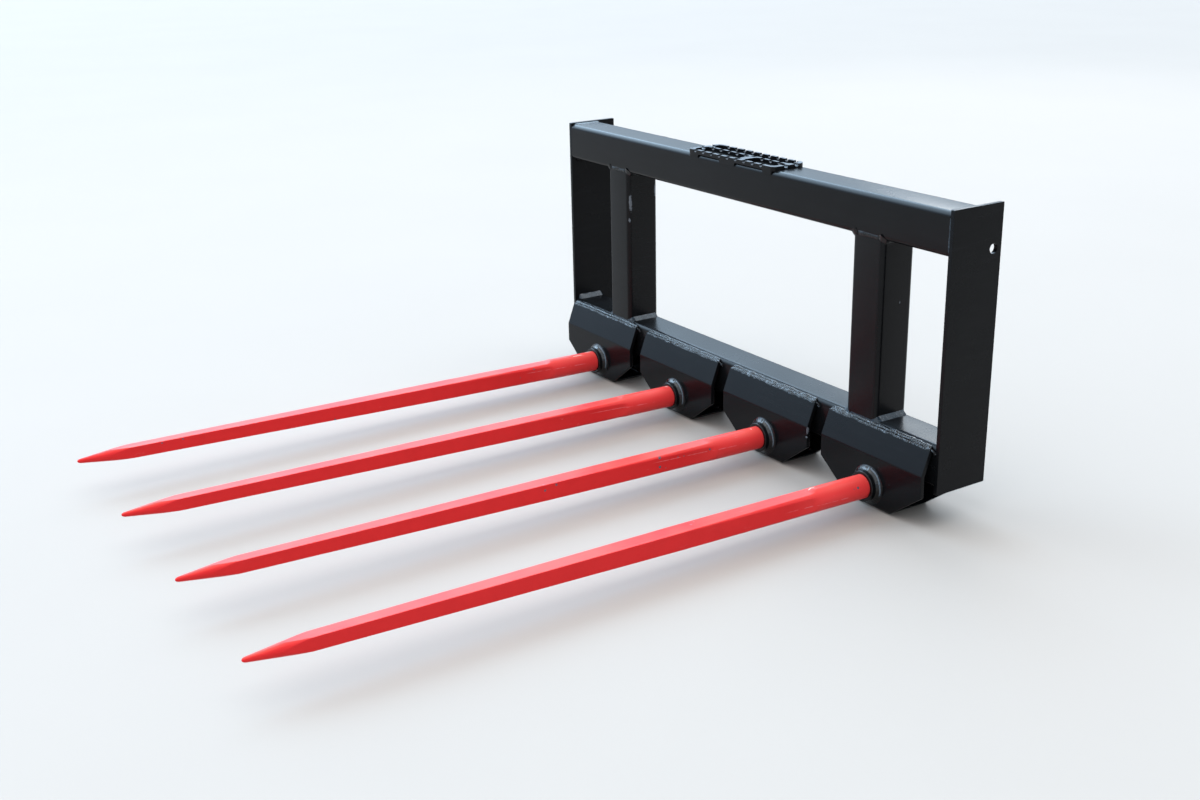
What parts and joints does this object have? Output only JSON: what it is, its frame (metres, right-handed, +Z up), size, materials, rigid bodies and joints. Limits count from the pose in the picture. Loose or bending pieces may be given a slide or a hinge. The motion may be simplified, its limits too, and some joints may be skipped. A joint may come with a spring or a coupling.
{
  "type": "bale spear",
  "caption": "Loader attachment for carrying round bales: black welded tube frame with long red tapered spears in bent pockets, a serrated step on top and a quick-attach receiver behind.",
  "frame": {"origin": "middle of the lock plate's sloping face, where the bottom edge of the loader's coupler plate bears", "axes": "+Y rearwards towards the loader, the spears point along -Y; +Z up; +X along the frame towards the end plate that is nearer in the picture"},
  "size_m": [1.1684, 1.2926, 0.5618],
  "materials": {
    "frame_paint": "gloss",
    "spear_paint": "satin",
    "zinc_hardware": "satin"
  },
  "bodies": {
    "root": {"top_tube": "frame_paint", "bottom_tube": "frame_paint", "upright_left": "frame_paint", "upright_right": "frame_paint", "end_plate_left": "frame_paint", "end_plate_right": "frame_paint", "spear_pocket_1": "frame_paint", "spear_sleeve_1": "frame_paint", "sleeve_support_1": "frame_paint", "spear_1": "spear_paint", "spear_washer_1": "zinc_hardware", "spear_nut_1": "zinc_hardware", "spear_pocket_2": "frame_paint", "spear_sleeve_2": "frame_paint", "sleeve_support_2": "frame_paint", "spear_2": "spear_paint", "spear_washer_2": "zinc_hardware", "spear_nut_2": "zinc_hardware", "spear_pocket_3": "frame_paint", "spear_sleeve_3": "frame_paint", "sleeve_support_3": "frame_paint", "spear_3": "spear_paint", "spear_washer_3": "zinc_hardware", "spear_nut_3": "zinc_hardware", "spear_pocket_4": "frame_paint", "spear_sleeve_4": "frame_paint", "sleeve_support_4": "frame_paint", "spear_4": "spear_paint", "spear_washer_4": "zinc_hardware", "spear_nut_4": "zinc_hardware", "step_plate": "frame_paint", "hook_lip": "frame_paint", "lock_plate": "frame_paint"}
  },
  "joints": []
}
